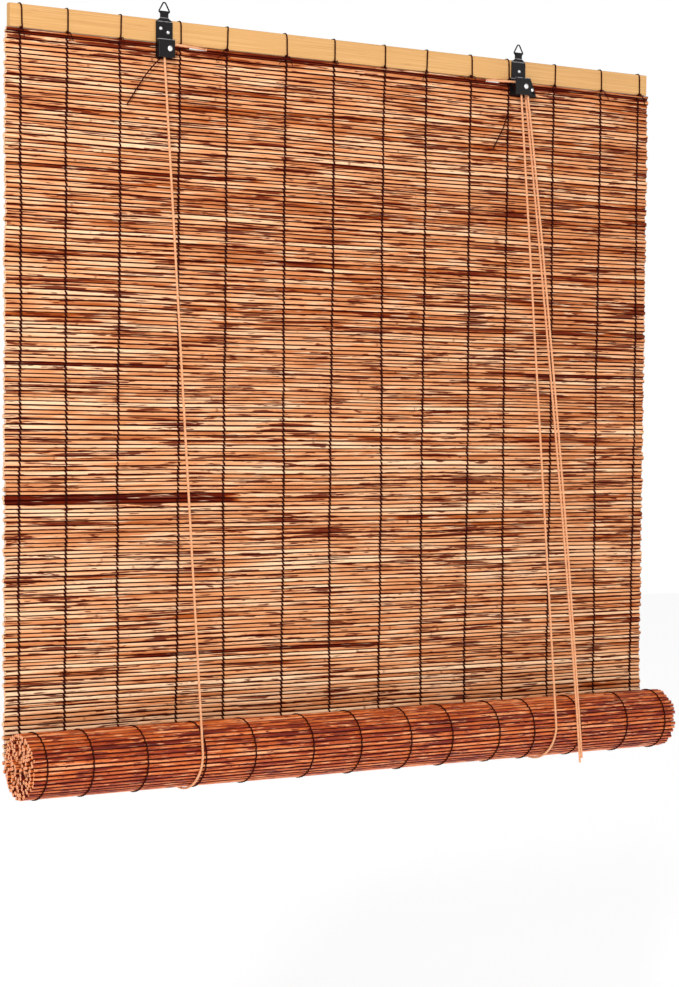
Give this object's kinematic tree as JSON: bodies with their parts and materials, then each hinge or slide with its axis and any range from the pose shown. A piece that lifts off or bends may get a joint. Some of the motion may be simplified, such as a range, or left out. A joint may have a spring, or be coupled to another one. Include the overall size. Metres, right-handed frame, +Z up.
{
  "type": "reed roll up blind",
  "caption": "Roll up window blind of whole reeds on twined threads, part lowered over its thick roll, with two steel hanging brackets, pulleys, cord lock and pull cords.",
  "frame": {"origin": "the hanging point inside the apex of the left ring", "axes": "+X along the head batten to the right, +Y to the window, +Z up"},
  "size_m": [1.008, 0.0916, 0.9798],
  "materials": {
    "bamboo": "planed, dry",
    "reed": "dry reed, satin skin",
    "reed_roll": "dry reed, satin skin",
    "thread": "waxed cotton thread",
    "black_steel": "gloss black paint",
    "nickel": "bright nickel",
    "nylon": "moulded",
    "brass": "knurled",
    "cord": "twisted cord"
  },
  "bodies": {
    "head": {"head_batten": "bamboo", "batten_bindings": "thread", "heading_reed": "reed", "hanging_reeds": "reed", "hanging_warps": "thread", "left_hanger_strap": "black_steel", "right_hanger_strap": "black_steel", "left_pulley_housing": "black_steel", "right_lock_housing": "black_steel", "left_axle_rivet": "nickel", "right_axle_rivet": "nickel", "left_batten_screws": "nickel", "right_batten_screws": "nickel", "left_cord_knot": "cord", "right_cord_knot": "cord", "left_cord_rear_leg": "cord", "right_cord_rear_leg": "cord", "left_cord_front_leg": "cord", "right_cord_front_leg": "cord", "left_cord_head_run": "cord", "right_cord_over_wheel": "cord", "rear_pull_tail": "cord", "front_pull_tail": "cord"},
    "left_ring": {"left_ring": "black_steel"},
    "right_ring": {"right_ring": "black_steel"},
    "left_pulley": {"left_pulley": "nylon"},
    "right_rear_pulley": {"right_rear_pulley": "nylon"},
    "right_front_pulley": {"right_front_pulley": "nylon"},
    "lock_pin": {"lock_pin": "nickel"},
    "lock_roller": {"lock_roller": "brass"},
    "roll_carrier": {"left_cord_bight": "cord", "right_cord_bight": "cord"},
    "roll": {"reed_roll": "reed_roll", "bottom_batten": "bamboo", "roll_threads": "thread"}
  },
  "joints": [
    {"name": "left_ring_swing", "type": "hinge", "parent": "head", "child": "left_ring", "pos_m": [0, 0, -0.0113], "axis": [1, 0, 0], "range_deg": [-85, 85]},
    {"name": "right_ring_swing", "type": "hinge", "parent": "head", "child": "right_ring", "pos_m": [0.557, 0, -0.0113], "axis": [1, 0, 0], "range_deg": [-85, 85]},
    {"name": "roll_lift", "type": "slide", "parent": "head", "child": "roll_carrier", "axis": [0, 0, 1], "range_m": [0, 0.722], "deforming": ["hanging_reeds", "hanging_warps", "left_cord_rear_leg", "right_cord_rear_leg", "left_cord_front_leg", "right_cord_front_leg", "rear_pull_tail", "front_pull_tail"]},
    {"name": "roll_turn", "type": "hinge", "parent": "roll_carrier", "child": "roll", "pos_m": [0.289, -0.0333, -0.928], "axis": [-1, 0, 0], "continuous": true},
    {"name": "left_pulley_turn", "type": "hinge", "parent": "head", "child": "left_pulley", "pos_m": [0.0045, -0.0035, -0.0557], "axis": [0, 1, 0], "continuous": true},
    {"name": "right_rear_pulley_turn", "type": "hinge", "parent": "head", "child": "right_rear_pulley", "pos_m": [0.5618, -0.0035, -0.0557], "axis": [0, 1, 0], "continuous": true},
    {"name": "right_front_pulley_turn", "type": "hinge", "parent": "head", "child": "right_front_pulley", "pos_m": [0.5618, -0.0085, -0.0557], "axis": [0, 1, 0], "continuous": true},
    {"name": "lock_pin_slide", "type": "slide", "parent": "head", "child": "lock_pin", "axis": [0.3987, 0, -0.9171], "range_m": [0, 0.005]},
    {"name": "lock_roller_spin", "type": "hinge", "parent": "lock_pin", "child": "lock_roller", "pos_m": [0.572, -0.006, -0.06], "axis": [0, 1, 0], "continuous": true}
  ],
  "couplings": [
    {"joint": "roll_turn", "follows": "roll_lift", "rad_per_m": 26.11},
    {"joint": "left_pulley_turn", "follows": "roll_lift", "rad_per_m": 327.87},
    {"joint": "right_rear_pulley_turn", "follows": "roll_lift", "rad_per_m": 327.87},
    {"joint": "right_front_pulley_turn", "follows": "roll_lift", "rad_per_m": 327.87}
  ]
}
